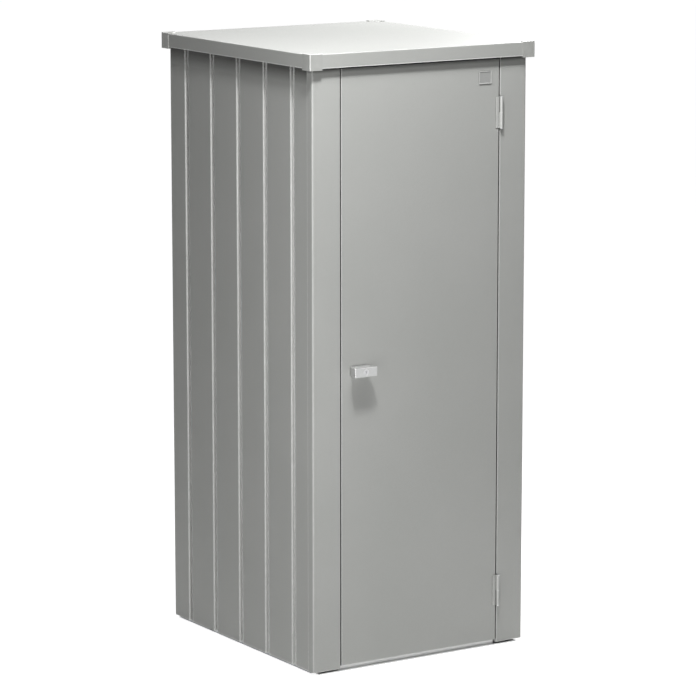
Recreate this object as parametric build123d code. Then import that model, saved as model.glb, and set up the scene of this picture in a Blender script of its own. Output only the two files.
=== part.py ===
from build123d import *
import math
import os

# Metal garden tool cabinet: a tall locker of folded, powder coated steel sheet with one door.
# Millimetres. X runs to the right of someone facing the door, the door faces -Y, Z is up.
# The origin is on the ground, under the centre of the body's plan.

# Overall sizes
body_width = 748.0            # over the two front corner posts
body_depth = 814.0            # from the front plane to the back plane
overall_height = 1827.0       # from the ground to the top of the roof caps

# Sheet metal
sheet = 1.0                   # thickness of the folded skins
bend = 1.5                    # inside radius of an ordinary fold
corner_radius = 6.0           # outside radius of the four upright corners of the body
skin_lift = 9.0               # the skins end this far above the ground
lap_clearance = 0.5           # play at the free edge of a sheet that laps inside a bend

# Pressed grooves of the side and back walls
groove_mouth = 20.5
groove_floor = 14.0
groove_depth = 9.5
side_groove_count = 5
side_groove_front = 108.3     # from the front plane to the first groove
side_groove_back = 100.7      # from the back plane to the last groove
back_groove_count = 4
back_groove_side = 147.0      # from the side plane to the nearest groove of the back wall
wall_flange = 28.0            # lap of a side wall round the back corner
post_return = 28.0            # lap of a front post round the front corner

# Door opening and door
door_width = 552.0
door_gap = 3.2                # visible gap beside and above the door
door_depth = 26.0             # depth of the folded door tray
door_lip = 15.0               # return lip of the door tray
door_bend = 2.5               # outside radius of the door's folded edges
stop_clearance = 5.0          # from the back of the door to the stop lips of the posts
post_lip = 12.0
header_lip = 17.0
header_show = 1.5             # strip of the header below the roof rim

# Sill of extruded aluminium
sill_height = 14.5
sill_setback = 14.0           # from the front plane to the front of the step
sill_wall = 2.0
sill_upstand = 16.0           # stop behind the bottom of the door
sill_nose = 1.5               # rounding of the step's upper front edge
sill_foot = 3.5               # base strip, flush with the front plane, that runs on under the posts
sill_foot_inset = 22.0        # from the side plane to the end of that strip
sill_clearance = 2.5          # below the door

# Roof
roof_overhang = 16.0
roof_rim = 41.0
roof_bend = 2.0               # outside radius of the roof's folded edges
roof_lip = 10.0
vent_gap = 7.0                # between the top of the walls and the roof sheet
roof_hat_height = 20.0
roof_hat_width = 90.0
roof_hat_foot = 15.0

# Plastic caps on the roof corners
cap_thickness = 2.0
cap_leg = 40.0
cap_drop = 5.0                # the cap hangs below the rim
cap_hook = 8.0                # width of the cap's edge under the rim
cap_corner = 4.0
cap_shoulder = 14.0           # width of the cap's top at the end of each leg
cap_round = 1.2

# Inner frame of angle sections
rail_thickness = 2.0
base_rail_height = 32.0
base_rail_leg = 30.0
top_rail_height = 30.0
top_rail_leg = 25.0

# Floor panel with pressed ribs and four anchor holes
floor_sheet = 1.2
floor_rib_count = 4
floor_rib_pitch = 150.0
floor_rib_width = 40.0
floor_rib_height = 5.0
floor_rib_slope = 5.0
floor_rib_end = 90.0          # plain floor beyond each end of a rib
anchor_radius = 4.5
anchor_inset_x = 52.5         # from the sides of the floor to the anchor holes
anchor_inset_y = 85.75        # from the front and back of the floor to the anchor holes

# Hinges
hinge_height = 92.0
hinge_top_inset = 158.8       # from the top of the door to the middle of the upper hinge
hinge_bottom_inset = 154.5    # from the bottom of the door to the middle of the lower hinge
hinge_pin_side = 3.5          # from the edge of the door to the pin
hinge_pin_reach = 7.8         # from the front plane to the pin
hinge_pin_radius = 2.5
hinge_knuckle_radius = 4.8
hinge_leaf = 2.0
hinge_leaf_width = 12.0
hinge_frame_depth = 24.0      # depth of the frame leaf inside the gap
hinge_head_radius = 4.2
hinge_head = 1.6
hinge_play = 0.3              # between the halves and below the pin heads
running_clearance = 0.05      # radial play of every turning fit
backing_height = 92.0
backing_width = 50.0
backing_plate = 2.5

# Stiffeners inside the door
hat_height = 70.0
lock_hat_height = 110.0
hat_foot = 12.0
hat_gap = 9.0                 # between an end stiffener and the hinge's backing plate

# Handle and lock
handle_x = -214.0
handle_z = 896.5
grip_width = 76.0
grip_height = 27.5
grip_thickness = 18.0
grip_reach = 38.0             # from the door's face to the front of the grip
grip_round = 2.5
grip_edge = 1.0
hub_width = 60.0              # block between the grip and the door
hub_height = 28.5
hub_round = 4.0
slide_clearance = 0.3         # play between sliding or loosely seated parts
spindle_radius = 8.0
spindle_hole_play = 1.0
cylinder_radius = 8.5
cylinder_length = 24.0
plug_radius = 5.0
plug_proud = 0.4
key_width = 1.4
key_height = 6.5
key_depth = 9.0
lock_case_width = 60.0
lock_case_height = 64.0
cam_clearance = 1.5           # from the stop lips to the cam
cam_thickness = 2.5
cam_radius = 22.0
cam_nose = 60.0
cam_nose_width = 16.0
cam_stud_radius = 5.0
cam_nut_radius = 6.5
cam_nut_height = 5.0
drive_pin_radius = 2.5
drive_pin_circle = 15.0       # the drive pins go round on this radius
drive_pin_length = 4.6

# Locking rods
rod_width = 18.0
rod_thickness = 3.0
rod_gap = 1.0                 # between the cam and the rods
rod_offset = 17.2             # middle of each rod from the handle's axis
rod_head = 14.0               # rod beyond its fork
fork_play = 0.9               # above and below the drive pin
fork_end_play = 1.0
rod_tip_clearance = 6.0       # a drawn back rod clears its stop by this
guide_width = 34.0
guide_height = 24.0
guide_wall = 3.0

# Fittings inside
shelf_z = 1420.0
shelf_depth = 350.0
shelf_height = 25.0
shelf_lip = 12.0
shelf_rail_thickness = 1.5
shelf_rail_height = 28.0
shelf_rail_leg = 22.0
tool_rail_z = 1300.0
tool_rail_length = 620.0
tool_rail_height = 30.0
tool_rail_thickness = 3.0
hook_count = 4
hook_width = 14.0
hook_thickness = 3.0
hook_reach = 48.0
hook_rise = 24.0
hook_bend = 4.0
hook_pitch = 160.0
buffer_radius = 3.2
buffer_shares = (0.2, 0.8)    # heights of the two door buffers along the door

# Planes worked out from the sizes above
side_x = body_width / 2
front_y = -body_depth / 2
back_y = body_depth / 2
roof_top = overall_height - cap_thickness
roof_under = roof_top - sheet
rim_bottom = roof_top - roof_rim
wall_top = roof_under - vent_gap
wall_x = side_x - sheet                       # outer face of a side wall
wall_y = back_y - sheet                       # outer face of the back wall
rail_x = wall_x - groove_depth - sheet        # inner face of the side grooves
rail_y = wall_y - groove_depth - sheet        # inner face of the back grooves
opening_x = door_width / 2 + door_gap
header_z = rim_bottom - header_show
door_top = header_z - door_gap
door_bottom = sill_height + sill_clearance
hinge_upper_z = door_top - hinge_top_inset
hinge_lower_z = door_bottom + hinge_bottom_inset
door_back = front_y + door_depth
post_lip_y = door_back + stop_clearance       # front face of the posts' stop lips
header_lip_y = post_lip_y - sheet
sill_lip_y = post_lip_y - sill_wall
door_skin_y = front_y + sheet                 # inner face of the door skin
hat_back = door_back - sheet                  # back face of the door stiffeners
pin_x = door_width / 2 + hinge_pin_side
pin_y = front_y - hinge_pin_reach
cam_front = post_lip_y + sheet + cam_clearance
cam_back = cam_front + cam_thickness
rod_front = cam_back + rod_gap
rod_back = rod_front + rod_thickness
rod_travel = drive_pin_circle * math.sqrt(2)
fork_drop = drive_pin_circle / math.sqrt(2)   # a fork starts this far from the handle's height
grip_front = front_y - grip_reach
grip_back = grip_front + grip_thickness
overrun = 20.0                                # cutters pass this far beyond what they cut


def move_left(points, distance):
    """The same run of straight lines, moved to its left by a distance."""
    vectors = [Vector(*p) for p in points]
    lines = []
    for start, end in zip(vectors, vectors[1:]):
        along = (end - start).normalized()
        normal = Vector(-along.Y, along.X)
        lines.append((start + normal * distance, along))
    moved = [lines[0][0]]
    for (base, along), (other_base, other) in zip(lines, lines[1:]):
        cross = along.X * other.Y - along.Y * other.X
        gap = other_base - base
        moved.append(base + along * ((gap.X * other.Y - gap.Y * other.X) / cross))
    last = lines[-1][1]
    moved.append(vectors[-1] + Vector(-last.Y, last.X) * distance)
    return moved


def folded_profile(points, bends, thickness):
    """Section of a folded sheet: one face follows the points, the sheet lies to their left."""
    near = [Vector(*p) for p in points]
    far = move_left(points, thickness)
    near_radii = []
    far_radii = []
    for before, corner, after, radius in zip(near, near[1:], near[2:], bends):
        into = corner - before
        out = after - corner
        turns_left = into.X * out.Y - into.Y * out.X > 0
        outer = radius + thickness if radius else 0
        near_radii.append(outer if turns_left else radius)
        far_radii.append(radius if turns_left else outer)
    edges = FilletPolyline(*near, radius=near_radii).edges()
    edges += FilletPolyline(*far, radius=far_radii).edges()
    edges += [Line(near[0], far[0]).edge(), Line(near[-1], far[-1]).edge()]
    return make_face(edges)


def run_profile(face, origin, across, along, length):
    """Stand a section up at a place and run it along a direction."""
    plane = Plane(origin=origin, x_dir=across, z_dir=along)
    return extrude(plane * face, amount=length, dir=Vector(*along))


def angle_section(height, leg, thickness):
    """An angle whose outer faces lie on both axes, with a leg along x and a web along y."""
    return folded_profile([(0, height), (0, 0), (leg, 0)], [bend], thickness)


def hat_section(width, foot, height):
    """A hat: feet on the x axis, web at the height, open towards the axis."""
    inner = width / 2 - foot
    top = height - sheet
    points = [(-width / 2, 0), (-inner, 0), (-inner, top), (inner, top), (inner, 0), (width / 2, 0)]
    return folded_profile(points, [bend] * 4, sheet)


def folded_tray(width, depth, height, outside_bend, lip):
    """A sheet folded down on four sides with a return lip all round, its open side on z = 0."""
    base = (Align.CENTER, Align.CENTER, Align.MIN)
    outside = Box(width, depth, height, align=base)
    outside = fillet(outside.edges().group_by(Axis.Z)[-1], outside_bend)
    inside = Box(width - 2 * sheet, depth - 2 * sheet, height - 2 * sheet, align=base)
    inside = Pos(0, 0, sheet) * fillet(inside.edges().group_by(Axis.Z)[-1], outside_bend - sheet)
    mouth = Box(width - 2 * (sheet + lip), depth - 2 * (sheet + lip), height / 2, align=base)
    return outside - inside - mouth


def box_between(low, high):
    """A block between two opposite corners."""
    size = [b - a for a, b in zip(low, high)]
    centre = [(a + b) / 2 for a, b in zip(low, high)]
    return Pos(*centre) * Box(*size)


def rod_along_y(radius, start_y, end_y, x, z):
    """A round bar parallel to Y."""
    circle = Plane(origin=(x, start_y, z), x_dir=(1, 0, 0), z_dir=(0, 1, 0)) * Circle(radius)
    return extrude(circle, amount=end_y - start_y, dir=(0, 1, 0))


def rod_along_z(radius, start_z, end_z, x, y):
    """A round bar parallel to Z."""
    return extrude(Pos(x, y, start_z) * Circle(radius), amount=end_z - start_z, dir=(0, 0, 1))


def groove_centres(first, last, count):
    """Even places from the first to the last groove."""
    pitch = (last - first) / (count - 1)
    return [first + pitch * n for n in range(count)]


def groove_bends(count):
    """Bend radii of a wall's grooves: rounded at the mouth, pressed sharp at the floor."""
    return [bend, 0, 0, bend] * count


def groove_points(centre, plane, travel, inward):
    """The four corners of one groove, met when going in the direction of travel along a wall."""
    corners = []
    for half, depth in ((-groove_mouth / 2, 0), (-groove_floor / 2, groove_depth),
                        (groove_floor / 2, groove_depth), (groove_mouth / 2, 0)):
        along = centre + travel * half
        corners.append((along, plane + inward * depth))
    return corners


def make_side_wall():
    """Left wall: flange behind the body, rounded back corner, five pressed grooves."""
    front_edge = front_y + corner_radius + lap_clearance
    points = [(-wall_x + wall_flange, back_y), (-wall_x, back_y)]
    centres = groove_centres(back_y - side_groove_back, front_y + side_groove_front, side_groove_count)
    for centre in centres:
        points += [(x, y) for y, x in groove_points(centre, -wall_x, -1, 1)]
    points.append((-wall_x, front_edge))
    bends = [corner_radius - sheet] + groove_bends(side_groove_count)
    return Pos(0, 0, skin_lift) * extrude(folded_profile(points, bends, sheet),
                                          amount=wall_top - skin_lift, dir=(0, 0, 1))


def make_back_wall():
    """Back wall with pressed grooves, lapped inside the flanges of the side walls."""
    edge = wall_x - corner_radius - lap_clearance
    points = [(edge, wall_y)]
    first = side_x - back_groove_side
    for centre in groove_centres(first, -first, back_groove_count):
        points += groove_points(centre, wall_y, -1, -1)
    points.append((-edge, wall_y))
    profile = folded_profile(points, groove_bends(back_groove_count), sheet)
    return Pos(0, 0, skin_lift) * extrude(profile, amount=wall_top - skin_lift, dir=(0, 0, 1))


def make_front_post():
    """Left corner post: side return, rounded corner, front face, reveal and stop lip."""
    points = [(-side_x, front_y + post_return), (-side_x, front_y), (-opening_x, front_y),
              (-opening_x, post_lip_y), (-opening_x + post_lip, post_lip_y)]
    profile = folded_profile(points, [corner_radius - sheet, bend, bend], sheet)
    return Pos(0, 0, skin_lift) * extrude(profile, amount=wall_top - skin_lift, dir=(0, 0, 1))


def make_header():
    """Folded channel above the door, with the door's top stop hanging from it."""
    points = [(post_lip_y, roof_under), (front_y, roof_under), (front_y, header_z),
              (header_lip_y, header_z), (header_lip_y, header_z - header_lip)]
    profile = folded_profile(points, [bend] * 3, sheet)
    half = opening_x - bend
    return run_profile(profile, (-half, 0, 0), (0, 1, 0), (1, 0, 0), 2 * half)


def make_sill():
    """Hollow extruded step under the door, an upstand behind the door and a flat foot in front."""
    half = opening_x - bend
    front = front_y + sill_setback
    step = box_between((-half, front, 0), (half, post_lip_y, sill_height))
    nose_edge = step.edges().filter_by(Axis.X).group_by(Axis.Y)[0].sort_by(Axis.Z)[-1]
    step = fillet(nose_edge, sill_nose)
    hollow = box_between((-half - overrun, front + sill_wall, sill_foot),
                         (half + overrun, sill_lip_y, sill_height - sill_wall))
    upstand = box_between((-half, sill_lip_y, 0), (half, post_lip_y, sill_height + sill_upstand))
    foot_end = side_x - sill_foot_inset
    foot = box_between((-foot_end, front_y, 0), (foot_end, post_lip_y, sill_foot))
    return step - hollow + upstand + foot


def pressed_rib(length):
    """Raised rib of the floor, closed at both ends, with the space under it to cut away."""
    def block(width, run, height, slope):
        low = Rectangle(width, run)
        high = Pos(0, 0, height) * Rectangle(width - 2 * slope, run - 2 * slope)
        return loft([low.face(), high.face()])
    outer = block(floor_rib_width, length, floor_rib_height + floor_sheet, floor_rib_slope)
    inner = block(floor_rib_width - 2 * floor_sheet, length - 2 * floor_sheet, floor_rib_height,
                  floor_rib_slope)
    return outer, inner


def make_floor():
    """Steel floor on the ground: flat edges under the base rails, pressed ribs, anchor holes."""
    panel = box_between((-rail_x, post_lip_y, 0), (rail_x, rail_y, floor_sheet))
    middle_y = (post_lip_y + rail_y) / 2
    outer, inner = pressed_rib(rail_y - post_lip_y - 2 * floor_rib_end)
    first = -floor_rib_pitch * (floor_rib_count - 1) / 2
    for n in range(floor_rib_count):
        place = Pos(first + n * floor_rib_pitch, middle_y, 0)
        panel = panel + place * outer
        panel = panel - place * inner
    for x in (-rail_x + anchor_inset_x, rail_x - anchor_inset_x):
        for y in (post_lip_y + anchor_inset_y, rail_y - anchor_inset_y):
            panel -= rod_along_z(anchor_radius, -overrun, overrun, x, y)
    return panel


def make_base_rails():
    """Angles on the floor that the groove backs of the walls are screwed to."""
    section = angle_section(base_rail_height, base_rail_leg, rail_thickness)
    left = run_profile(section, (-rail_x, rail_y, floor_sheet), (1, 0, 0), (0, -1, 0), rail_y - post_lip_y)
    inner_x = rail_x - base_rail_leg
    back = run_profile(section, (inner_x, rail_y, floor_sheet), (0, -1, 0), (-1, 0, 0), 2 * inner_x)
    return left, mirror(left, about=Plane.YZ), back


def make_top_rails():
    """Angles under the roof sheet, on the groove backs of the walls."""
    section = angle_section(top_rail_height, top_rail_leg, rail_thickness)
    front_end = front_y + corner_radius
    left = run_profile(section, (-rail_x, front_end, roof_under), (1, 0, 0), (0, 1, 0), rail_y - front_end)
    inner_x = rail_x - top_rail_leg
    back = run_profile(section, (-inner_x, rail_y, roof_under), (0, -1, 0), (1, 0, 0), 2 * inner_x)
    return left, mirror(left, about=Plane.YZ), back


def make_roof():
    """Roof sheet folded down all round over the tops of the walls."""
    tray = folded_tray(body_width + 2 * roof_overhang, body_depth + 2 * roof_overhang,
                       roof_rim, roof_bend, roof_lip)
    return Pos(0, 0, rim_bottom) * tray


def make_roof_stiffener():
    """Hat section under the middle of the roof, between the top rails."""
    end = rail_x - top_rail_leg
    section = hat_section(roof_hat_width, roof_hat_foot, roof_hat_height)
    return run_profile(section, (end, 0, roof_under), (0, 1, 0), (-1, 0, 0), 2 * end)


def make_roof_cap():
    """Plastic cap over the front left corner of the roof rim."""
    corner_x = -side_x - roof_overhang
    corner_y = front_y - roof_overhang
    low = (corner_x - cap_thickness, corner_y - cap_thickness, rim_bottom - cap_drop)
    high = (corner_x + cap_leg, corner_y + cap_leg, overall_height)
    block = box_between(low, high)
    upright = block.edges().filter_by(Axis.Z).sort_by(lambda e: e.center().X + e.center().Y)[0]
    block = fillet(upright, cap_corner)
    rims = block.faces().sort_by(Axis.Z)[-1].edges().sort_by(lambda e: e.center().X + e.center().Y)[:3]
    block = chamfer(rims, cap_round)
    far_x = corner_x + cap_leg + overrun
    far_y = corner_y + cap_leg + overrun
    roof_space = box_between((corner_x, corner_y, rim_bottom), (far_x, far_y, roof_top))
    under_space = box_between((corner_x + cap_hook, corner_y + cap_hook, rim_bottom - overrun),
                              (far_x, far_y, rim_bottom + overrun))
    inner = cap_leg - cap_shoulder
    triangle = make_face(Polyline((0, 0), (-inner, 0), (0, -inner), close=True))
    triangle = extrude(triangle, amount=2 * overrun, dir=(0, 0, 1))
    top_space = Pos(high[0], high[1], roof_top - overrun) * triangle
    return block - roof_space - under_space - top_space


def make_hinge(middle_z, door_half_above):
    """One hinge: door leaf, frame leaf and pin. The frame leaf stands in the gap beside the door."""
    low = middle_z - hinge_height / 2
    high = middle_z + hinge_height / 2
    lower_half = (low, middle_z - hinge_play / 2)
    upper_half = (middle_z + hinge_play / 2, high)
    door_half = upper_half if door_half_above else lower_half
    frame_half = lower_half if door_half_above else upper_half
    pad_right = pin_x - hinge_knuckle_radius + hinge_leaf
    bore = rod_along_z(hinge_pin_radius + running_clearance, low - overrun, high + overrun, pin_x, pin_y)

    door_leaf = box_between((pad_right - hinge_leaf_width, front_y - hinge_leaf, low),
                            (pad_right, front_y, high))
    door_leaf += box_between((pin_x - hinge_knuckle_radius, pin_y, door_half[0]),
                             (pad_right, front_y, door_half[1]))
    door_leaf += rod_along_z(hinge_knuckle_radius, door_half[0], door_half[1], pin_x, pin_y)
    door_leaf -= bore

    frame_front = front_y - hinge_leaf / 2
    frame_leaf = box_between((opening_x - hinge_leaf, frame_front, low),
                             (opening_x, front_y + hinge_frame_depth, high))
    frame_leaf += box_between((opening_x - hinge_leaf, pin_y, frame_half[0]),
                              (opening_x, frame_front, frame_half[1]))
    frame_leaf += rod_along_z(hinge_knuckle_radius, frame_half[0], frame_half[1], pin_x, pin_y)
    frame_leaf -= bore

    pin = rod_along_z(hinge_pin_radius, low, high, pin_x, pin_y)
    for start in (low - hinge_play - hinge_head, high + hinge_play):
        pin += rod_along_z(hinge_head_radius, start, start + hinge_head, pin_x, pin_y)
    pin += rod_along_z(hinge_pin_radius, low - hinge_play, high + hinge_play, pin_x, pin_y)
    return door_leaf, frame_leaf, pin


def make_backing_plates():
    """Plates inside the door skin that the hinge leaves are riveted to."""
    right = door_width / 2 - door_bend
    plates = []
    for z in (hinge_upper_z, hinge_lower_z):
        plates.append(box_between((right - backing_width, door_skin_y, z - backing_height / 2),
                                  (right, door_skin_y + backing_plate, z + backing_height / 2)))
    return Compound(children=plates)


def make_door_skin():
    """Door sheet folded back on four sides, with a hole for the handle's spindle."""
    tray = folded_tray(door_width, door_top - door_bottom, door_depth, door_bend, door_lip)
    tray = Pos(0, door_back, (door_top + door_bottom) / 2) * Rot(90, 0, 0) * tray
    hole = rod_along_y(spindle_radius + spindle_hole_play, front_y - overrun, door_skin_y + sheet,
                       handle_x, handle_z)
    return tray - hole


def make_door_stiffener(middle_z, height):
    """Hat section across the inside of the door."""
    end = door_width / 2 - door_bend
    section = hat_section(height, hat_foot, hat_back - door_skin_y)
    return run_profile(section, (end, door_skin_y, middle_z), (0, 0, 1), (-1, 0, 0), 2 * end)


def make_lock_stiffener():
    """The middle stiffener, with the hole that the spindle passes through."""
    hole = rod_along_y(spindle_radius + spindle_hole_play, hat_back - overrun, hat_back + overrun,
                       handle_x, handle_z)
    return make_door_stiffener(handle_z, lock_hat_height) - hole


def make_lock_case():
    """Bearing block of the lock between the door skin and the middle stiffener."""
    case = box_between((handle_x - lock_case_width / 2, door_skin_y, handle_z - lock_case_height / 2),
                       (handle_x + lock_case_width / 2, hat_back - sheet, handle_z + lock_case_height / 2))
    return case - rod_along_y(spindle_radius + running_clearance, door_skin_y - overrun,
                              hat_back + overrun, handle_x, handle_z)


def make_handle_grip():
    """Cast grip on a narrower block that stands just off the door, bored for the lock cylinder."""
    grip = box_between((handle_x - grip_width / 2, grip_front, handle_z - grip_height / 2),
                       (handle_x + grip_width / 2, grip_back, handle_z + grip_height / 2))
    grip = fillet(grip.edges().filter_by(Axis.Y), grip_round)
    grip = chamfer(grip.edges().group_by(Axis.Y)[0], grip_edge)
    hub = box_between((handle_x - hub_width / 2, grip_back, handle_z - hub_height / 2),
                      (handle_x + hub_width / 2, front_y - slide_clearance, handle_z + hub_height / 2))
    hub = fillet(hub.edges().filter_by(Axis.Y), hub_round)
    return grip + hub - rod_along_y(cylinder_radius + running_clearance, grip_front - overrun,
                                    grip_front + cylinder_length, handle_x, handle_z)


def make_lock_cylinder():
    """Barrel of the lock, set flush in the grip."""
    barrel = rod_along_y(cylinder_radius, grip_front, grip_front + cylinder_length, handle_x, handle_z)
    return barrel - rod_along_y(plug_radius + running_clearance, grip_front - overrun,
                                grip_front + cylinder_length - sheet, handle_x, handle_z)


def make_lock_plug():
    """Turning plug of the lock with its keyway."""
    front = grip_front - plug_proud
    back = grip_front + cylinder_length - sheet - slide_clearance
    plug = rod_along_y(plug_radius, front, back, handle_x, handle_z)
    keyway = box_between((handle_x - key_width / 2, front - overrun, handle_z - key_height / 2),
                         (handle_x + key_width / 2, front + key_depth, handle_z + key_height / 2))
    return plug - keyway


def make_spindle():
    """Shaft from the handle's block through the door to the cam, with a thinner stud at its end."""
    shaft = rod_along_y(spindle_radius, front_y - slide_clearance, cam_front, handle_x, handle_z)
    return shaft + rod_along_y(cam_stud_radius, cam_front, cam_back + cam_nut_height, handle_x, handle_z)


def make_cam():
    """Cam behind the door. Its nose points up while the door is free and swings behind the post."""
    disc = rod_along_y(cam_radius, cam_front, cam_back, handle_x, handle_z)
    tip = handle_z + cam_nose - cam_nose_width / 2
    disc += box_between((handle_x - cam_nose_width / 2, cam_front, handle_z),
                        (handle_x + cam_nose_width / 2, cam_back, tip))
    disc += rod_along_y(cam_nose_width / 2, cam_front, cam_back, handle_x, tip)
    return disc - rod_along_y(cam_stud_radius + running_clearance, cam_front - overrun,
                              cam_back + overrun, handle_x, handle_z)


def make_cam_nut():
    """Hexagon nut that holds the cam on the spindle."""
    hexagon = Plane(origin=(handle_x, cam_back, handle_z), x_dir=(1, 0, 0), z_dir=(0, 1, 0))
    nut = extrude(hexagon * RegularPolygon(cam_nut_radius, 6), amount=cam_nut_height, dir=(0, 1, 0))
    return nut - rod_along_y(cam_stud_radius + running_clearance, cam_back - overrun,
                             cam_back + overrun, handle_x, handle_z)


def make_drive_pins():
    """Two pins on the cam that push the rods apart. They start 45 degrees below and above level."""
    pins = []
    for side in (1, -1):
        pins.append(rod_along_y(drive_pin_radius, cam_back, cam_back + drive_pin_length,
                                handle_x + side * fork_drop, handle_z - side * fork_drop))
    return Compound(children=pins)


def make_rod(side, tip_z):
    """Flat locking rod: a fork round its drive pin at one end, a plain tip at the other."""
    pin_z = handle_z - side * fork_drop
    tail_z = pin_z - side * rod_head
    x = handle_x + side * rod_offset
    low, high = sorted((tail_z, tip_z))
    rod = box_between((x - rod_width / 2, rod_front, low), (x + rod_width / 2, rod_back, high))
    fork_bottom = handle_x + side * (drive_pin_circle + drive_pin_radius + fork_end_play)
    fork_mouth = x - side * (rod_width / 2 + overrun)
    left, right = sorted((fork_bottom, fork_mouth))
    half = drive_pin_radius + fork_play
    return rod - box_between((left, rod_front - overrun, pin_z - half), (right, rod_back + overrun, pin_z + half))


def make_rod_guide(side, middle_z):
    """Guide block on a door stiffener with a slot for the rod."""
    x = handle_x + side * rod_offset
    block = box_between((x - guide_width / 2, hat_back, middle_z - guide_height / 2),
                        (x + guide_width / 2, rod_back + slide_clearance + guide_wall, middle_z + guide_height / 2))
    slot = box_between((x - rod_width / 2 - slide_clearance, rod_front - slide_clearance, middle_z - guide_height),
                       (x + rod_width / 2 + slide_clearance, rod_back + slide_clearance, middle_z + guide_height))
    return block - slot


def make_shelf_rails():
    """Angles on the groove backs that carry the shelf."""
    section = angle_section(shelf_rail_height, shelf_rail_leg, shelf_rail_thickness)
    start = (-rail_x, rail_y, shelf_z - shelf_rail_thickness)
    left = run_profile(section, start, (1, 0, 0), (0, -1, 0), shelf_depth)
    return left, mirror(left, about=Plane.YZ)


def make_shelf():
    """Folded shelf that rests on its two rails."""
    width = 2 * (rail_x - shelf_rail_thickness - bend)
    tray = folded_tray(width, shelf_depth, shelf_height, bend + sheet, shelf_lip)
    return Pos(0, rail_y - shelf_depth / 2, shelf_z) * tray


def make_tool_rail():
    """Flat bar on the groove backs of the back wall."""
    return box_between((-tool_rail_length / 2, rail_y - tool_rail_thickness, tool_rail_z - tool_rail_height / 2),
                       (tool_rail_length / 2, rail_y, tool_rail_z + tool_rail_height / 2))


def make_tool_hooks():
    """Hooks bent from flat bar, set on the tool rail for rakes, spades and brooms."""
    face_y = rail_y - tool_rail_thickness - hook_thickness
    low = tool_rail_z - tool_rail_height / 2 + hook_thickness
    points = [(face_y, tool_rail_z + tool_rail_height / 2), (face_y, low), (face_y - hook_reach, low),
              (face_y - hook_reach, low + hook_rise)]
    section = folded_profile(points, [hook_bend, hook_bend], hook_thickness)
    first = -hook_pitch * (hook_count - 1) / 2 - hook_width / 2
    hooks = []
    for n in range(hook_count):
        hooks.append(run_profile(section, (first + n * hook_pitch, 0, 0), (0, 1, 0), (1, 0, 0), hook_width))
    return Compound(children=hooks)


def make_door_buffers():
    """Rubber buffers on the stop lip of the left post, just behind the door."""
    door_edge = -door_width / 2 + sheet
    x = (door_edge - opening_x + post_lip) / 2
    buffers = []
    for share in buffer_shares:
        z = door_bottom + share * (door_top - door_bottom)
        buffers.append(rod_along_y(buffer_radius, door_back + slide_clearance, post_lip_y, x, z))
    return Compound(children=buffers)


def mirrored_four(front_left):
    """The same corner piece at all four corners of the roof."""
    front_right = mirror(front_left, about=Plane.YZ)
    return {"front_left": front_left, "front_right": front_right,
            "back_left": mirror(front_left, about=Plane.XZ), "back_right": mirror(front_right, about=Plane.XZ)}


def make_cabinet():
    """Every named piece of the cabinet."""
    pieces = {}
    side_wall = make_side_wall()
    post = make_front_post()
    pieces["floor_panel"] = make_floor()
    pieces["sill"] = make_sill()
    pieces["side_wall_left"] = side_wall
    pieces["side_wall_right"] = mirror(side_wall, about=Plane.YZ)
    pieces["back_wall"] = make_back_wall()
    pieces["front_post_left"] = post
    pieces["front_post_right"] = mirror(post, about=Plane.YZ)
    pieces["header"] = make_header()
    pieces["roof_panel"] = make_roof()
    pieces["roof_stiffener"] = make_roof_stiffener()
    for name, rails in (("base_rail", make_base_rails()), ("top_rail", make_top_rails())):
        pieces[f"{name}_left"], pieces[f"{name}_right"], pieces[f"{name}_back"] = rails
    for place, cap in mirrored_four(make_roof_cap()).items():
        pieces[f"roof_cap_{place}"] = cap
    pieces["shelf_rail_left"], pieces["shelf_rail_right"] = make_shelf_rails()
    pieces["shelf"] = make_shelf()
    pieces["tool_rail"] = make_tool_rail()
    pieces["tool_hooks"] = make_tool_hooks()
    pieces["door_buffers"] = make_door_buffers()
    for place, middle, above in (("upper", hinge_upper_z, False), ("lower", hinge_lower_z, True)):
        door_leaf, frame_leaf, pin = make_hinge(middle, above)
        pieces[f"hinge_door_leaf_{place}"] = door_leaf
        pieces[f"hinge_frame_leaf_{place}"] = frame_leaf
        pieces[f"hinge_pin_{place}"] = pin
    pieces["hinge_backing_plates"] = make_backing_plates()
    pieces["door_skin"] = make_door_skin()
    hat_step = backing_height / 2 + hat_gap + hat_height / 2
    top_hat = hinge_upper_z + hat_step
    bottom_hat = hinge_lower_z - hat_step
    pieces["door_stiffener_top"] = make_door_stiffener(top_hat, hat_height)
    pieces["door_stiffener_middle"] = make_lock_stiffener()
    pieces["door_stiffener_bottom"] = make_door_stiffener(bottom_hat, hat_height)
    pieces["lock_case"] = make_lock_case()
    pieces["handle_grip"] = make_handle_grip()
    pieces["lock_cylinder"] = make_lock_cylinder()
    pieces["lock_plug"] = make_lock_plug()
    pieces["handle_spindle"] = make_spindle()
    pieces["cam_plate"] = make_cam()
    pieces["cam_nut"] = make_cam_nut()
    pieces["drive_pins"] = make_drive_pins()
    pieces["rod_upper"] = make_rod(1, header_z - header_lip - rod_tip_clearance)
    pieces["rod_lower"] = make_rod(-1, sill_height + sill_upstand + rod_tip_clearance)
    pieces["rod_guide_upper"] = make_rod_guide(1, top_hat)
    pieces["rod_guide_lower"] = make_rod_guide(-1, bottom_hat)
    return pieces


def save_pieces():
    """Write each named piece to its own file."""
    os.makedirs("parts", exist_ok=True)
    for name, shape in make_cabinet().items():
        export_step(shape, f"parts/{name}.step")
    print("rod travel, mm", round(rod_travel, 3))


save_pieces()
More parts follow.
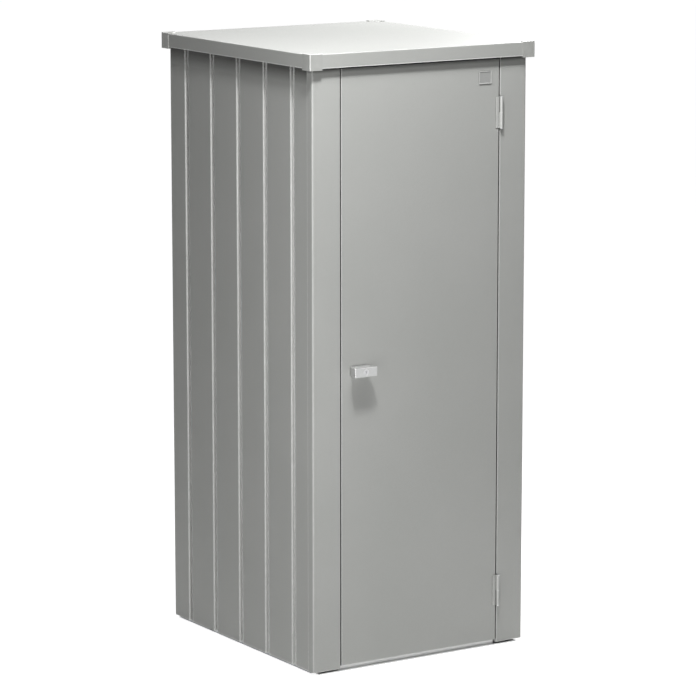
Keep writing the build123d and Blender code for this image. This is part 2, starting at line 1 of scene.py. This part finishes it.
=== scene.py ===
# %% [markdown]
# # A powder coated garden tool cabinet
# The cabinet is a tall box of folded steel sheet: grooved walls, one door, a roof with a rim.
# Its shape is already made as solid parts. This lesson gives these parts their finishes, adds the
# one small thing that the solids leave out, and then lights the cabinet and places the camera for
# its picture.
# Everything is in metres. X runs to the right along the door, the door faces -Y and Z is up.

import math

import bmesh
import bpy
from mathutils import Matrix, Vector


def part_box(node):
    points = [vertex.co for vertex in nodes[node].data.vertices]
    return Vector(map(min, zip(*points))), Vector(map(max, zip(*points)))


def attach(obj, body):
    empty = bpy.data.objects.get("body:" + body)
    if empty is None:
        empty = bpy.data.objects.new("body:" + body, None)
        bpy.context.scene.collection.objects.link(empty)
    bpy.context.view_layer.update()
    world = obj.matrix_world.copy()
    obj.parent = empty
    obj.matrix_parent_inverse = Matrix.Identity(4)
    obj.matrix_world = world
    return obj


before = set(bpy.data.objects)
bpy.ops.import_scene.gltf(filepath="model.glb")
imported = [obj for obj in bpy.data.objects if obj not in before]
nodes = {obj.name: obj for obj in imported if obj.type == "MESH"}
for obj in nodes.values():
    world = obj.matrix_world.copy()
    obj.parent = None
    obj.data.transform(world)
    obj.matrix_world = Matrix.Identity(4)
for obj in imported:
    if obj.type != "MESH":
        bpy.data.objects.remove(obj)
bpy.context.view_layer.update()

# %% [markdown]
# ## The camera
# The picture was taken from a long way off with a long lens, from the cabinet's front left and
# from above its roof. Upright lines stay almost parallel. The camera is therefore placed almost
# eleven metres away, turned 32.7 degrees to the right and tipped 10.3 degrees down.

# %% Place the camera
sensor_width = 36.0               # millimetres, as is the lens
lens = 179.8
clip_end = 200.0
camera_place = (-5.6086, -8.7518, 2.7730)
tipped_down = 10.326              # degrees, as are the next two
leaned_over = 0.02
turned_right = 32.696

camera_data = bpy.data.cameras.new("picture_camera")
camera_data.sensor_width = sensor_width
camera_data.lens = lens
camera_data.clip_end = clip_end
camera = bpy.data.objects.new("picture_camera", camera_data)
bpy.context.scene.collection.objects.link(camera)
camera.location = camera_place
camera.rotation_euler = [math.radians(angle)
                         for angle in (90 - tipped_down, leaned_over, -turned_right)]
bpy.context.scene.camera = camera
print("lens", lens, "mm, distance", round(camera.location.length, 2), "m")


# %% [markdown]
# ## Helpers for finishes
# A finish is a small graph of nodes. Each graph starts from object coordinates, which are real
# metres on the part, so a grain of 1 mm is 1 mm on every piece. These short functions add what
# each finish needs: a noise, a soft step between two values, a roughness that varies and a
# bump, and then colours and one-node sums.

# %% Start a finish and give it grain
def new_finish(name):
    """A material with an empty graph apart from its shader. Returns the material and its tools."""
    material = bpy.data.materials.new(name)
    material.use_nodes = True
    tree = material.node_tree
    shader = tree.nodes["Principled BSDF"]
    place = tree.nodes.new("ShaderNodeTexCoord")
    return material, tree, shader, place


def grain(tree, place, per_metre, detail=3.0, stretch=(1, 1, 1)):
    """Noise that repeats so many times per metre, drawn out along an axis by the stretch."""
    mapping = tree.nodes.new("ShaderNodeMapping")
    mapping.inputs["Scale"].default_value = stretch
    noise = tree.nodes.new("ShaderNodeTexNoise")
    noise.inputs["Scale"].default_value = per_metre
    noise.inputs["Detail"].default_value = detail
    tree.links.new(place.outputs["Object"], mapping.inputs["Vector"])
    tree.links.new(mapping.outputs["Vector"], noise.inputs["Vector"])
    return noise.outputs["Fac"]


def between(tree, factor, low, high, spread=(0.3, 0.7)):
    """Turns a factor into numbers from low to high, over the part of its range that is used."""
    step = tree.nodes.new("ShaderNodeMapRange")
    step.inputs["From Min"].default_value = spread[0]
    step.inputs["From Max"].default_value = spread[1]
    step.inputs["To Min"].default_value = low
    step.inputs["To Max"].default_value = high
    tree.links.new(factor, step.inputs["Value"])
    return step.outputs["Result"]


def vary_roughness(tree, shader, factor, low, high, spread=(0.3, 0.7)):
    """Feeds a roughness between two values to the shader."""
    tree.links.new(between(tree, factor, low, high, spread), shader.inputs["Roughness"])


def relief(tree, shader, height, strength, distance):
    """Feeds a height to the shader's normal. The distance is the depth of the relief in metres."""
    bump = tree.nodes.new("ShaderNodeBump")
    bump.inputs["Strength"].default_value = strength
    bump.inputs["Distance"].default_value = distance
    tree.links.new(height, bump.inputs["Height"])
    tree.links.new(bump.outputs["Normal"], shader.inputs["Normal"])


print("helpers ready: new_finish, grain, between, vary_roughness, relief")


# %% Colours and one-node sums
def tint(tree, factor, greys, spread=(0.3, 0.7)):
    """Turns a factor into colours from the first to the second of two greys."""
    ramp = tree.nodes.new("ShaderNodeValToRGB")
    for element, position, grey in zip(ramp.color_ramp.elements, spread, greys):
        element.position = position
        element.color = (*grey, 1)
    tree.links.new(factor, ramp.inputs["Fac"])
    return ramp.outputs["Color"]


def blend_colours(tree, factor, first, second, mode="MIX"):
    """Mixes two colours, each a socket, by a factor that is a socket or a number."""
    mix = tree.nodes.new("ShaderNodeMix")
    mix.data_type = "RGBA"
    mix.blend_type = mode
    if isinstance(factor, float):
        mix.inputs["Factor"].default_value = factor
    else:
        tree.links.new(factor, mix.inputs["Factor"])
    tree.links.new(first, mix.inputs["A"])
    tree.links.new(second, mix.inputs["B"])
    return mix.outputs["Result"]


def small_sum(tree, operation, first, second):
    """A one-node sum of two sockets or numbers, such as their product or the larger one."""
    step = tree.nodes.new("ShaderNodeMath")
    step.operation = operation
    for socket, value in zip(step.inputs, (first, second)):
        if isinstance(value, float):
            socket.default_value = value
        else:
            tree.links.new(value, socket)
    return step.outputs["Value"]


print("helpers ready: tint, blend_colours, small_sum")

# %% [markdown]
# ## Masks
# Painted highlights and painted shade follow the shape of a part. Four masks find their places:
# edges, rounded bends, narrow gaps that light hardly reaches, and everything above a height. The
# edge mask compares the true facing of the surface with one that is rounded off over a small
# radius: where they differ, there is an edge. The bend mask looks for sheet that faces along no
# axis. The gap mask sends out short rays and counts those that get away.

# %% Find edges, bends, gaps and heights
mask_samples = 6                  # rays for each point in the edge mask and the gap mask
edge_likeness = (0.93, 0.999)     # how alike the two facings are, at an edge and on flat sheet
bend_facing = (0.75, 0.93)        # largest part of the facing, in a bend and on flat sheet
open_share = (0.35, 0.85)         # share of rays that get away, in a gap and out of it


def edge_mask(tree, radius):
    """One along edges within the radius, zero on flat sheet."""
    rounded = tree.nodes.new("ShaderNodeBevel")
    rounded.samples = mask_samples
    rounded.inputs["Radius"].default_value = radius
    flat = tree.nodes.new("ShaderNodeNewGeometry")
    likeness = tree.nodes.new("ShaderNodeVectorMath")
    likeness.operation = "DOT_PRODUCT"
    tree.links.new(rounded.outputs["Normal"], likeness.inputs[0])
    tree.links.new(flat.outputs["Normal"], likeness.inputs[1])
    return between(tree, likeness.outputs["Value"], 1.0, 0.0, edge_likeness)


def bend_mask(tree, place, strength):
    """The strength on rounded bends, zero where the sheet faces straight along an axis."""
    axes = tree.nodes.new("ShaderNodeVectorMath")
    axes.operation = "ABSOLUTE"
    tree.links.new(place.outputs["Normal"], axes.inputs[0])
    parts = tree.nodes.new("ShaderNodeSeparateXYZ")
    tree.links.new(axes.outputs["Vector"], parts.inputs["Vector"])
    largest = small_sum(tree, "MAXIMUM", parts.outputs["X"], parts.outputs["Y"])
    largest = small_sum(tree, "MAXIMUM", largest, parts.outputs["Z"])
    return between(tree, largest, strength, 0.0, bend_facing)


def open_mask(tree, reach):
    """One in the open, zero in gaps and inner corners that are narrower than the reach."""
    sky = tree.nodes.new("ShaderNodeAmbientOcclusion")
    sky.samples = mask_samples
    sky.inputs["Distance"].default_value = reach
    return between(tree, sky.outputs["AO"], 0.0, 1.0, open_share)


def height_mask(tree, place, start, full):
    """Zero below the start and one above the full height, both in metres."""
    parts = tree.nodes.new("ShaderNodeSeparateXYZ")
    tree.links.new(place.outputs["Object"], parts.inputs["Vector"])
    return between(tree, parts.outputs["Z"], 0.0, 1.0, (start, full))


print("masks ready: edge_mask, bend_mask, open_mask, height_mask")

# %% [markdown]
# ## Powder coat
# The sheets are covered with a baked powder: warm light grey, half matt, with a skin like a
# very fine orange peel and tiny flakes that vary the grey from spot to spot. A plain colour
# would look like paper. So the graph mixes fine flakes with broad, faint clouds, a third noise
# varies the roughness, and a fourth one raises the orange peel. The gloss is kept low, because
# the sheets of the real cabinet show soft shading and no clear reflections.
#
# Sharp edges and pressed bends get a painted highlight: a lighter grey is painted into the colour
# along them. In the narrow gaps around the door a darker grey is painted in as painted shade. Just
# under the roof's rim a soft band of painted shade darkens the sheets. It stands in for the deep
# shadow there, which the lamps below don't throw.

# %% Write the powder coat
cloud_grain = 2.6                 # grains are in repeats per metre
# The next grain is that of the painted highlight along edges and bends.
painted_highlight_grain = 90.0
roughness_grain = 260.0
# The next grain and the dark greys below are those of the painted shade.
painted_shade_grain = 300.0
peel_grain = 620.0
flake_grain = 1400.0
cloud_greys = ((0.955, 0.96, 0.955), (1, 1, 1))
painted_shade_greys = ((0.06, 0.06, 0.056), (0.1, 0.1, 0.094))
bend_highlight_share = 0.5                  # how far a rounded bend takes the painted highlight's grey
paint_gloss = 0.12
paint_swing = 0.05                # how far the roughness varies on both sides
peel_depth = 0.0002


def powder_coat(name, greys, roughness, highlight_greys, highlight_width, painted_shade_reach=0.0, painted_shade_band=None):
    """Powder coat with a painted highlight along its edges and bends, and painted shade in gaps
    and in a band above a height.
    """
    material, tree, shader, place = new_finish(name)
    flakes = tint(tree, grain(tree, place, flake_grain, detail=2.0), greys, spread=(0.35, 0.65))
    clouds = tint(tree, grain(tree, place, cloud_grain, detail=2.0), cloud_greys)
    colour = blend_colours(tree, 1.0, flakes, clouds, "MULTIPLY")
    # Painted highlight: a lighter grey painted along edges and bends.
    painted_highlight = tint(tree, grain(tree, place, painted_highlight_grain), highlight_greys)
    highlighted = small_sum(tree, "MAXIMUM", edge_mask(tree, highlight_width),
                     bend_mask(tree, place, bend_highlight_share))
    if painted_shade_reach > 0 or painted_shade_band:
        painted_shade = tint(tree, grain(tree, place, painted_shade_grain), painted_shade_greys)
    # Painted shade: a dark grey painted into gaps narrower than the reach.
    if painted_shade_reach > 0:
        unshaded = open_mask(tree, painted_shade_reach)
        highlighted = small_sum(tree, "MULTIPLY", highlighted, unshaded)
        colour = blend_colours(tree, unshaded, painted_shade, colour)
    # Painted shade: a dark band painted under the roof's rim, above the given height.
    if painted_shade_band:
        colour = blend_colours(tree, height_mask(tree, place, *painted_shade_band), colour, painted_shade)
    colour = blend_colours(tree, highlighted, colour, painted_highlight)
    tree.links.new(colour, shader.inputs["Base Color"])
    vary_roughness(tree, shader, grain(tree, place, roughness_grain),
                   roughness - paint_swing, roughness + paint_swing)
    shader.inputs["Specular IOR Level"].default_value = paint_gloss
    peel = grain(tree, place, peel_grain, detail=2.0)
    relief(tree, shader, peel, strength=0.12, distance=peel_depth)
    return material


print("powder coat written, gloss", paint_gloss)

# %% [markdown]
# One powder covers the whole cabinet, yet its painted highlights differ from part to part, so each
# family of parts has a coat of its own, with the greys and the width of its painted edge
# highlights. The walls have the sharpest presses and get the widest painted highlights, and the
# roof has the lightest ones. The front sheets and the hinges get painted shade in their gaps, and
# the front sheets and the walls get a band of painted shade under the rim. The small plate on the
# door has a slightly darker lacquer.

# %% Mix the five coats
paint_greys = ((0.4, 0.405, 0.39), (0.48, 0.485, 0.47))

# In each coat the edge greys and the width give its painted highlight, and the gap reach and the
# band give its painted shade.
sheet_paint = powder_coat("sheet_powder_coat", paint_greys, 0.4,
                          highlight_greys=((0.7, 0.705, 0.69), (0.84, 0.845, 0.83)),
                          highlight_width=0.003, painted_shade_reach=0.008, painted_shade_band=(1.768, 1.779))
roof_paint = powder_coat("roof_powder_coat", ((0.375, 0.38, 0.366), (0.45, 0.455, 0.44)), 0.4,
                         highlight_greys=((0.88, 0.885, 0.87), (0.97, 0.972, 0.965)),
                         highlight_width=0.003)
hinge_paint = powder_coat("hinge_powder_coat", ((0.44, 0.445, 0.43), (0.54, 0.545, 0.53)), 0.36,
                          highlight_greys=((0.86, 0.865, 0.85), (0.96, 0.965, 0.955)),
                          highlight_width=0.0014, painted_shade_reach=0.004)
plate_lacquer = powder_coat("plate_lacquer", ((0.34, 0.343, 0.335), (0.4, 0.403, 0.395)), 0.34,
                            highlight_greys=((0.56, 0.565, 0.55), (0.66, 0.665, 0.65)),
                            highlight_width=0.001)
# The walls get a wider band of painted shade under the rim than the front sheets.
wall_paint = powder_coat("wall_powder_coat", paint_greys, 0.4,
                         highlight_greys=((0.84, 0.845, 0.83), (0.95, 0.955, 0.94)),
                         highlight_width=0.006, painted_shade_band=(1.734, 1.772))
coats = (sheet_paint, roof_paint, hinge_paint, plate_lacquer, wall_paint)
print("made", [coat.name for coat in coats])

# %% [markdown]
# ## Galvanised steel
# The hidden angles, the shelf and the floor panel are galvanised: the zinc freezes in flat
# crystals of about a centimetre, each with its own grey and its own roughness. A texture of
# cells is the natural pattern for crystals, and a noise that shifts its coordinates makes
# their borders ragged.

# %% Make the galvanised steel
crystals_per_metre = 85.0
border_grain = 60.0
dull_grain = 9.0
zinc_peel_grain = 420.0
ragged_by = 0.012                 # metres that a border may wander
crystal_greys = ((0.4, 0.41, 0.42), (0.56, 0.57, 0.58))
dull_greys = ((0.86, 0.87, 0.88), (1, 1, 1))
zinc_roughness = (0.36, 0.52)
zinc_metallic = 0.85


def galvanised_steel(name):
    """Hot dip zinc with its flat crystals."""
    material, tree, shader, place = new_finish(name)
    cells = tree.nodes.new("ShaderNodeTexVoronoi")
    cells.inputs["Scale"].default_value = crystals_per_metre
    wobble = tree.nodes.new("ShaderNodeVectorMath")
    wobble.operation = "MULTIPLY_ADD"
    wobble.inputs[1].default_value = (ragged_by, ragged_by, ragged_by)
    noise = tree.nodes.new("ShaderNodeTexNoise")
    noise.inputs["Scale"].default_value = border_grain
    tree.links.new(place.outputs["Object"], noise.inputs["Vector"])
    tree.links.new(noise.outputs["Color"], wobble.inputs[0])
    tree.links.new(place.outputs["Object"], wobble.inputs[2])
    tree.links.new(wobble.outputs["Vector"], cells.inputs["Vector"])
    one = tree.nodes.new("ShaderNodeSeparateColor")
    tree.links.new(cells.outputs["Color"], one.inputs["Color"])
    crystals = tint(tree, one.outputs["Red"], crystal_greys, spread=(0.0, 1.0))
    dull = tint(tree, grain(tree, place, dull_grain, detail=4.0), dull_greys)
    colour = blend_colours(tree, 1.0, crystals, dull, "MULTIPLY")
    tree.links.new(colour, shader.inputs["Base Color"])
    vary_roughness(tree, shader, one.outputs["Green"], *zinc_roughness, spread=(0.0, 1.0))
    shader.inputs["Metallic"].default_value = zinc_metallic
    relief(tree, shader, grain(tree, place, zinc_peel_grain), strength=0.1, distance=0.0002)
    return material


galvanised = galvanised_steel("galvanised_sheet")
print("made", galvanised.name)

# %% [markdown]
# ## Drawn, plated and cast metals
# The sill is pressed through a die, so its marks run along its length: the same noise as before,
# drawn out along X. Small hardware is zinc plated, with a finer and quieter grain, and the grip
# gets a painted highlight along its edges. One function makes them all, because they differ only
# in grey, roughness, the run and fineness of their marks, how metallic they shine and how wide
# that painted highlight is.

# %% Make the drawn, plated and cast metals
along, upright, even = (0.02, 1, 1), (1, 1, 0.35), (1, 1, 1)      # the run of the marks
# The next grain and greys are those of the painted highlight along edges.
edge_highlight_grain = 200.0
edge_highlight_greys = ((0.74, 0.74, 0.73), (0.86, 0.86, 0.85))
plated_greys = ((0.5, 0.51, 0.52), (0.62, 0.63, 0.63))
metal_swing = 0.07


def drawn_metal(name, greys, roughness, run, per_metre, metallic=1.0, edge_highlight_width=0.0):
    """Metal whose fine marks run along one axis, with a painted highlight along its edges as wide
    as the last argument.
    """
    material, tree, shader, place = new_finish(name)
    marks = grain(tree, place, per_metre, stretch=run)
    colour = tint(tree, marks, greys)
    # Painted highlight: a lighter grey painted along the edges.
    if edge_highlight_width > 0:
        highlight_colour = tint(tree, grain(tree, place, edge_highlight_grain), edge_highlight_greys)
        colour = blend_colours(tree, edge_mask(tree, edge_highlight_width), colour, highlight_colour)
    tree.links.new(colour, shader.inputs["Base Color"])
    vary_roughness(tree, shader, marks, roughness - metal_swing, roughness + metal_swing)
    shader.inputs["Metallic"].default_value = metallic
    relief(tree, shader, marks, strength=0.15, distance=0.0001)
    return material


sill_metal = drawn_metal("sill_aluminium", ((0.56, 0.565, 0.56), (0.68, 0.685, 0.68)), 0.42,
                         along, 900.0, metallic=0.6)
plated = drawn_metal("plated_steel", plated_greys, 0.34, upright, 500.0)
hook_metal = drawn_metal("plated_hooks", plated_greys, 0.32, even, 700.0)
lock_metal = drawn_metal("lock_chrome", ((0.5, 0.5, 0.51), (0.62, 0.62, 0.63)), 0.26,
                         even, 2500.0)
cast_metal = drawn_metal("cast_zinc", ((0.3, 0.3, 0.31), (0.42, 0.42, 0.43)), 0.55,
                         even, 350.0, metallic=0.8)
# The grip gets a painted highlight on its edges, as wide as the last number.
grip_metal = drawn_metal("grip_satin_metal", ((0.5, 0.505, 0.5), (0.58, 0.585, 0.58)), 0.34,
                         even, 1600.0, metallic=0.55, edge_highlight_width=0.0016)
metals = (sill_metal, plated, hook_metal, lock_metal, cast_metal, grip_metal)
print("made", [metal.name for metal in metals])

# %% [markdown]
# ## Plastic and rubber
# The roof caps are moulded in a grey plastic that matches the paint, with a fine spark grain.
# Their rounded corners stand out and get a painted highlight. The rod guides are black and the
# door buffers are rubber, duller and a little dusty.

# %% Make the plastics and the rubber
faint_dust_grain = 45.0
bend_highlight_grain = 120.0
plastic_roughness_grain = 150.0
spark_grain = 1100.0
# Greys of the painted highlight on rounded bends.
bend_highlight_greys = ((0.84, 0.845, 0.83), (0.96, 0.965, 0.95))
plastic_gloss = 0.45
plastic_swing = 0.06


def moulded(name, greys, roughness, grain_depth, bend_highlight=0.0):
    """Moulded plastic or rubber with a spark grain, a faint dusty tone, and a painted highlight on
    rounded bends whose strength is from 0 to 1.
    """
    material, tree, shader, place = new_finish(name)
    faint_dust = grain(tree, place, faint_dust_grain, detail=4.0)
    colour = tint(tree, faint_dust, greys, spread=(0.25, 0.75))
    # Painted highlight: a lighter grey painted on rounded bends.
    if bend_highlight > 0:
        highlight_colour = tint(tree, grain(tree, place, bend_highlight_grain), bend_highlight_greys)
        colour = blend_colours(tree, bend_mask(tree, place, bend_highlight), colour, highlight_colour)
    tree.links.new(colour, shader.inputs["Base Color"])
    vary_roughness(tree, shader, grain(tree, place, plastic_roughness_grain),
                   roughness - plastic_swing, roughness + plastic_swing)
    shader.inputs["Specular IOR Level"].default_value = plastic_gloss
    sparks = grain(tree, place, spark_grain, detail=2.0)
    relief(tree, shader, sparks, strength=0.2, distance=grain_depth)
    return material


# The caps get a strong painted highlight on their rounded corners.
cap_plastic = moulded("roof_cap_plastic", ((0.345, 0.35, 0.335), (0.39, 0.395, 0.38)), 0.45,
                      0.0002, bend_highlight=0.95)
guide_plastic = moulded("guide_plastic", ((0.02, 0.02, 0.022), (0.05, 0.05, 0.052)), 0.5,
                        0.0002)
buffer_rubber = moulded("buffer_rubber", ((0.016, 0.016, 0.016), (0.045, 0.044, 0.042)), 0.72,
                        0.0003)
print("made", cap_plastic.name, guide_plastic.name, buffer_rubber.name)

# %% [markdown]
# ## Dress the parts
# Each part keeps its own mesh, and only its material slot changes. A table from finish to
# parts keeps the choice readable, and a part that nobody named would show up in the print.

# %% Give every part its finish
finishes = {
    wall_paint: ["side_wall_left", "side_wall_right", "back_wall"],
    sheet_paint: ["front_post_left", "front_post_right", "header", "door_skin"],
    roof_paint: ["roof_panel"],
    hinge_paint: ["hinge_frame_leaf_upper", "hinge_frame_leaf_lower", "hinge_door_leaf_upper",
                  "hinge_door_leaf_lower"],
    galvanised: ["floor_panel", "roof_stiffener", "base_rail_left", "base_rail_right",
                 "base_rail_back", "top_rail_left", "top_rail_right", "top_rail_back",
                 "shelf_rail_left", "shelf_rail_right", "shelf", "tool_rail",
                 "hinge_backing_plates", "door_stiffener_top", "door_stiffener_middle",
                 "door_stiffener_bottom"],
    sill_metal: ["sill"],
    plated: ["hinge_pin_upper", "hinge_pin_lower", "handle_spindle", "cam_plate", "cam_nut",
             "drive_pins", "rod_upper", "rod_lower"],
    hook_metal: ["tool_hooks"],
    lock_metal: ["lock_cylinder", "lock_plug"],
    cast_metal: ["lock_case"],
    grip_metal: ["handle_grip"],
    cap_plastic: ["roof_cap_front_left", "roof_cap_front_right", "roof_cap_back_left",
                  "roof_cap_back_right"],
    guide_plastic: ["rod_guide_upper", "rod_guide_lower"],
    buffer_rubber: ["door_buffers"],
}
for material, names in finishes.items():
    for name in names:
        for material_slot in nodes[name].material_slots:
            material_slot.material = material
dressed = {name for names in finishes.values() for name in names}
print(len(dressed), "parts dressed, left out:", sorted(set(nodes) - dressed))


# %% [markdown]
# ## Helpers for new pieces
# Small pieces are shaped with bmesh, Blender's mesh editing kit. A piece is made where it
# belongs, so its object stays at the origin, and it rides on the part of the cabinet that
# carries it.

# %% Make a rounded block
def keep_piece(mesh_kit, name, material, body):
    """Turns a finished bmesh into an object that rides on a body."""
    mesh = bpy.data.meshes.new(name)
    mesh_kit.to_mesh(mesh)
    mesh_kit.free()
    piece = bpy.data.objects.new(name, mesh)
    bpy.context.scene.collection.objects.link(piece)
    mesh.materials.append(material)
    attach(piece, body)
    return piece


def add_block(mesh_kit, low, high, rounding, steps):
    """Adds a block between two corners with rounded edges."""
    size = Vector(high) - Vector(low)
    middle = (Vector(high) + Vector(low)) / 2
    made = bmesh.ops.create_cube(mesh_kit, size=1.0)
    bmesh.ops.scale(mesh_kit, vec=size, verts=made["verts"])
    bmesh.ops.translate(mesh_kit, vec=middle, verts=made["verts"])
    edges = list(dict.fromkeys(edge for vert in made["verts"] for edge in vert.link_edges))
    bmesh.ops.bevel(mesh_kit, geom=edges, offset=rounding, offset_type="OFFSET", segments=steps,
                    profile=0.5, affect="EDGES", clamp_overlap=True, material=-1)


print("helpers ready: keep_piece, add_block")

# %% [markdown]
# ## The small plate on the door
# Near the top of the door, beside the upper hinge, sits a thin plate of 45 by 38 mm. It is
# left bare. Its border stands up as a fine ridge, so a plain box would miss the light line at
# its top and left and the dark line under it. A rounded block gives the outline, and three
# insets of its front face, the last two pushed back, leave the ridge standing.

# %% Make the bare plate
plate_left, plate_right = 0.203, 0.248
plate_bottom, plate_top = 1.7067, 1.7445
plate_thickness = 0.0026
plate_rounding = 0.0011
ridge_steps = ((0.0009, 0.0), (0.0012, -0.0012), (0.0006, -0.0001))   # inwards, and forwards


def make_door_plate():
    """Thin blank plate with a raised border, flat on the door's face."""
    face_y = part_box("door_skin")[0].y
    kit = bmesh.new()
    add_block(kit, (plate_left, face_y - plate_thickness, plate_bottom),
              (plate_right, face_y, plate_top), plate_rounding, steps=3)
    front = min(kit.faces,
                key=lambda face: (round(face.calc_center_median().y, 6), -face.calc_area()))
    for inwards, forwards in ridge_steps:
        bmesh.ops.inset_individual(kit, faces=[front], thickness=inwards, depth=forwards)
    print("plate faces", len(kit.faces))
    return keep_piece(kit, "door_plate", plate_lacquer, "door")


door_plate = make_door_plate()
print("made", door_plate.name)

# %% [markdown]
# ## The studio floor
# The picture has a white ground and a white background with almost no shadow. A large pale
# floor carries the cabinet. It also glows for the camera and for reflections only, a little
# less near the cabinet. So the ground looks white and the cabinet's soft shadow still shows,
# while the glow gives no light to the sheets.

# %% Lay the floor
floor_half_width = 60.0
floor_drop = 0.0005               # a hair below the cabinet's feet

floor_kit = bmesh.new()
bmesh.ops.create_grid(floor_kit, x_segments=1, y_segments=1, size=floor_half_width)
floor_mesh = bpy.data.meshes.new("studio_floor")
floor_kit.to_mesh(floor_mesh)
floor_kit.free()
floor = bpy.data.objects.new("studio_floor", floor_mesh)
floor.location.z = -floor_drop
bpy.context.scene.collection.objects.link(floor)
print("floor laid,", max(vert.co.x for vert in floor_mesh.vertices), "metres to each side")

# %% Make the floor pale, and white to the eye
floor_grey = (0.93, 0.93, 0.93, 1)
floor_glow_range = (0.86, 1.0)    # at the cabinet and far away
floor_glow_reach = (1.0, 6.0)     # metres from the middle

floor_material, floor_tree, floor_shader, floor_place = new_finish("studio_floor")
floor_shader.inputs["Base Color"].default_value = floor_grey
floor_shader.inputs["Roughness"].default_value = 0.9
floor_shader.inputs["Specular IOR Level"].default_value = 0.0

floor_away = floor_tree.nodes.new("ShaderNodeVectorMath")
floor_away.operation = "LENGTH"
floor_tree.links.new(floor_place.outputs["Object"], floor_away.inputs[0])
floor_rise = between(floor_tree, floor_away.outputs["Value"], *floor_glow_range,
                     floor_glow_reach)
floor_rays = floor_tree.nodes.new("ShaderNodeLightPath")
floor_seen = small_sum(floor_tree, "MAXIMUM", floor_rays.outputs["Is Camera Ray"],
                       floor_rays.outputs["Is Glossy Ray"])
floor_strength = small_sum(floor_tree, "MULTIPLY", floor_seen, floor_rise)
floor_glow = floor_tree.nodes.new("ShaderNodeEmission")
floor_tree.links.new(floor_strength, floor_glow.inputs["Strength"])
floor_both = floor_tree.nodes.new("ShaderNodeAddShader")
floor_tree.links.new(floor_shader.outputs["BSDF"], floor_both.inputs[0])
floor_tree.links.new(floor_glow.outputs["Emission"], floor_both.inputs[1])
floor_tree.links.new(floor_both.outputs["Shader"],
                     floor_tree.nodes["Material Output"].inputs["Surface"])
floor_mesh.materials.append(floor_material)
print("floor grey", floor_grey[0], "with a glow from", floor_glow_range)

# %% [markdown]
# ## The world
# The world is white to the camera, through glass and in reflections, but gives almost no light
# of its own, so the lamps alone decide how the sheets are shaded.

# %% Colour the world
world_light = 0.01

world = bpy.data.worlds.new("studio_world")
world.use_nodes = True
bpy.context.scene.world = world
world_tree = world.node_tree
rays = world_tree.nodes.new("ShaderNodeLightPath")
through = small_sum(world_tree, "MAXIMUM", rays.outputs["Is Camera Ray"],
                    rays.outputs["Is Transmission Ray"])
seen = small_sum(world_tree, "MAXIMUM", through, rays.outputs["Is Glossy Ray"])
strength = small_sum(world_tree, "MAXIMUM", seen, world_light)
backdrop = world_tree.nodes["Background"]
backdrop.inputs["Color"].default_value = (1, 1, 1, 1)
world_tree.links.new(strength, backdrop.inputs["Strength"])
print("world set, its own light", world_light)


# %% [markdown]
# ## The lamps
# The door is lit a little more than the left wall, and both fade towards the back and the
# right. A small lamp high on the left gives most of the light. It grazes the wall and the
# door, so the rim throws a dark band and the handle a shadow that leans to the right. A
# broader lamp high in front softens both. Two strips near the front left corner make the left
# wall fade towards the back, as light weakens with distance. A low lamp lifts the foot of the
# walls, and one above makes the roof the brightest sheet, brightest of all at its right end.

# %% Hang the lamps
def hang_lamp(name, place, target, width, height, watts):
    """A flat lamp that faces its target."""
    data = bpy.data.lights.new(name, "AREA")
    data.shape = "RECTANGLE"
    data.size = width
    data.size_y = height
    data.energy = watts
    lamp = bpy.data.objects.new(name, data)
    bpy.context.scene.collection.objects.link(lamp)
    lamp.location = place
    lamp.rotation_euler = (Vector(target) - Vector(place)).to_track_quat("-Z", "Y").to_euler()


# Each lamp has its place, the point that it faces, its width, its height and its watts.
lamps = {
    "high_left_lamp": ((-0.75, -1.3, 3.4), (-0.37, -0.3, 1.0), 0.25, 0.25, 47),
    "high_front_lamp": ((-0.35, -1.5, 4.3), (-0.1, -0.4, 1.0), 0.6, 0.6, 52),
    "corner_strip_lamp": ((-0.9, -0.75, 1.5), (-0.374, -0.35, 1.3), 0.3, 1.2, 1.4),
    "low_strip_lamp": ((-0.95, -0.85, 0.7), (-0.374, -0.35, 0.75), 0.3, 0.5, 1.1),
    "low_left_lamp": ((-1.3, -2.6, 0.9), (-0.37, -0.3, 0.3), 0.8, 0.4, 11),
    "roof_right_lamp": ((1.5, 0.7, 2.5), (0.3, 0.1, 1.82), 0.6, 0.6, 43),
}
for name, settings in lamps.items():
    hang_lamp(name, *settings)
print("lamps:", [lamp.name for lamp in bpy.data.lights])

# %% [markdown]
# ## The view
# The greys were matched under the plain view, in which a colour comes out about as it is
# written, without a film curve.

# %% Choose the plain view
bpy.context.scene.view_settings.view_transform = "Standard"
print("view:", bpy.context.scene.view_settings.view_transform)
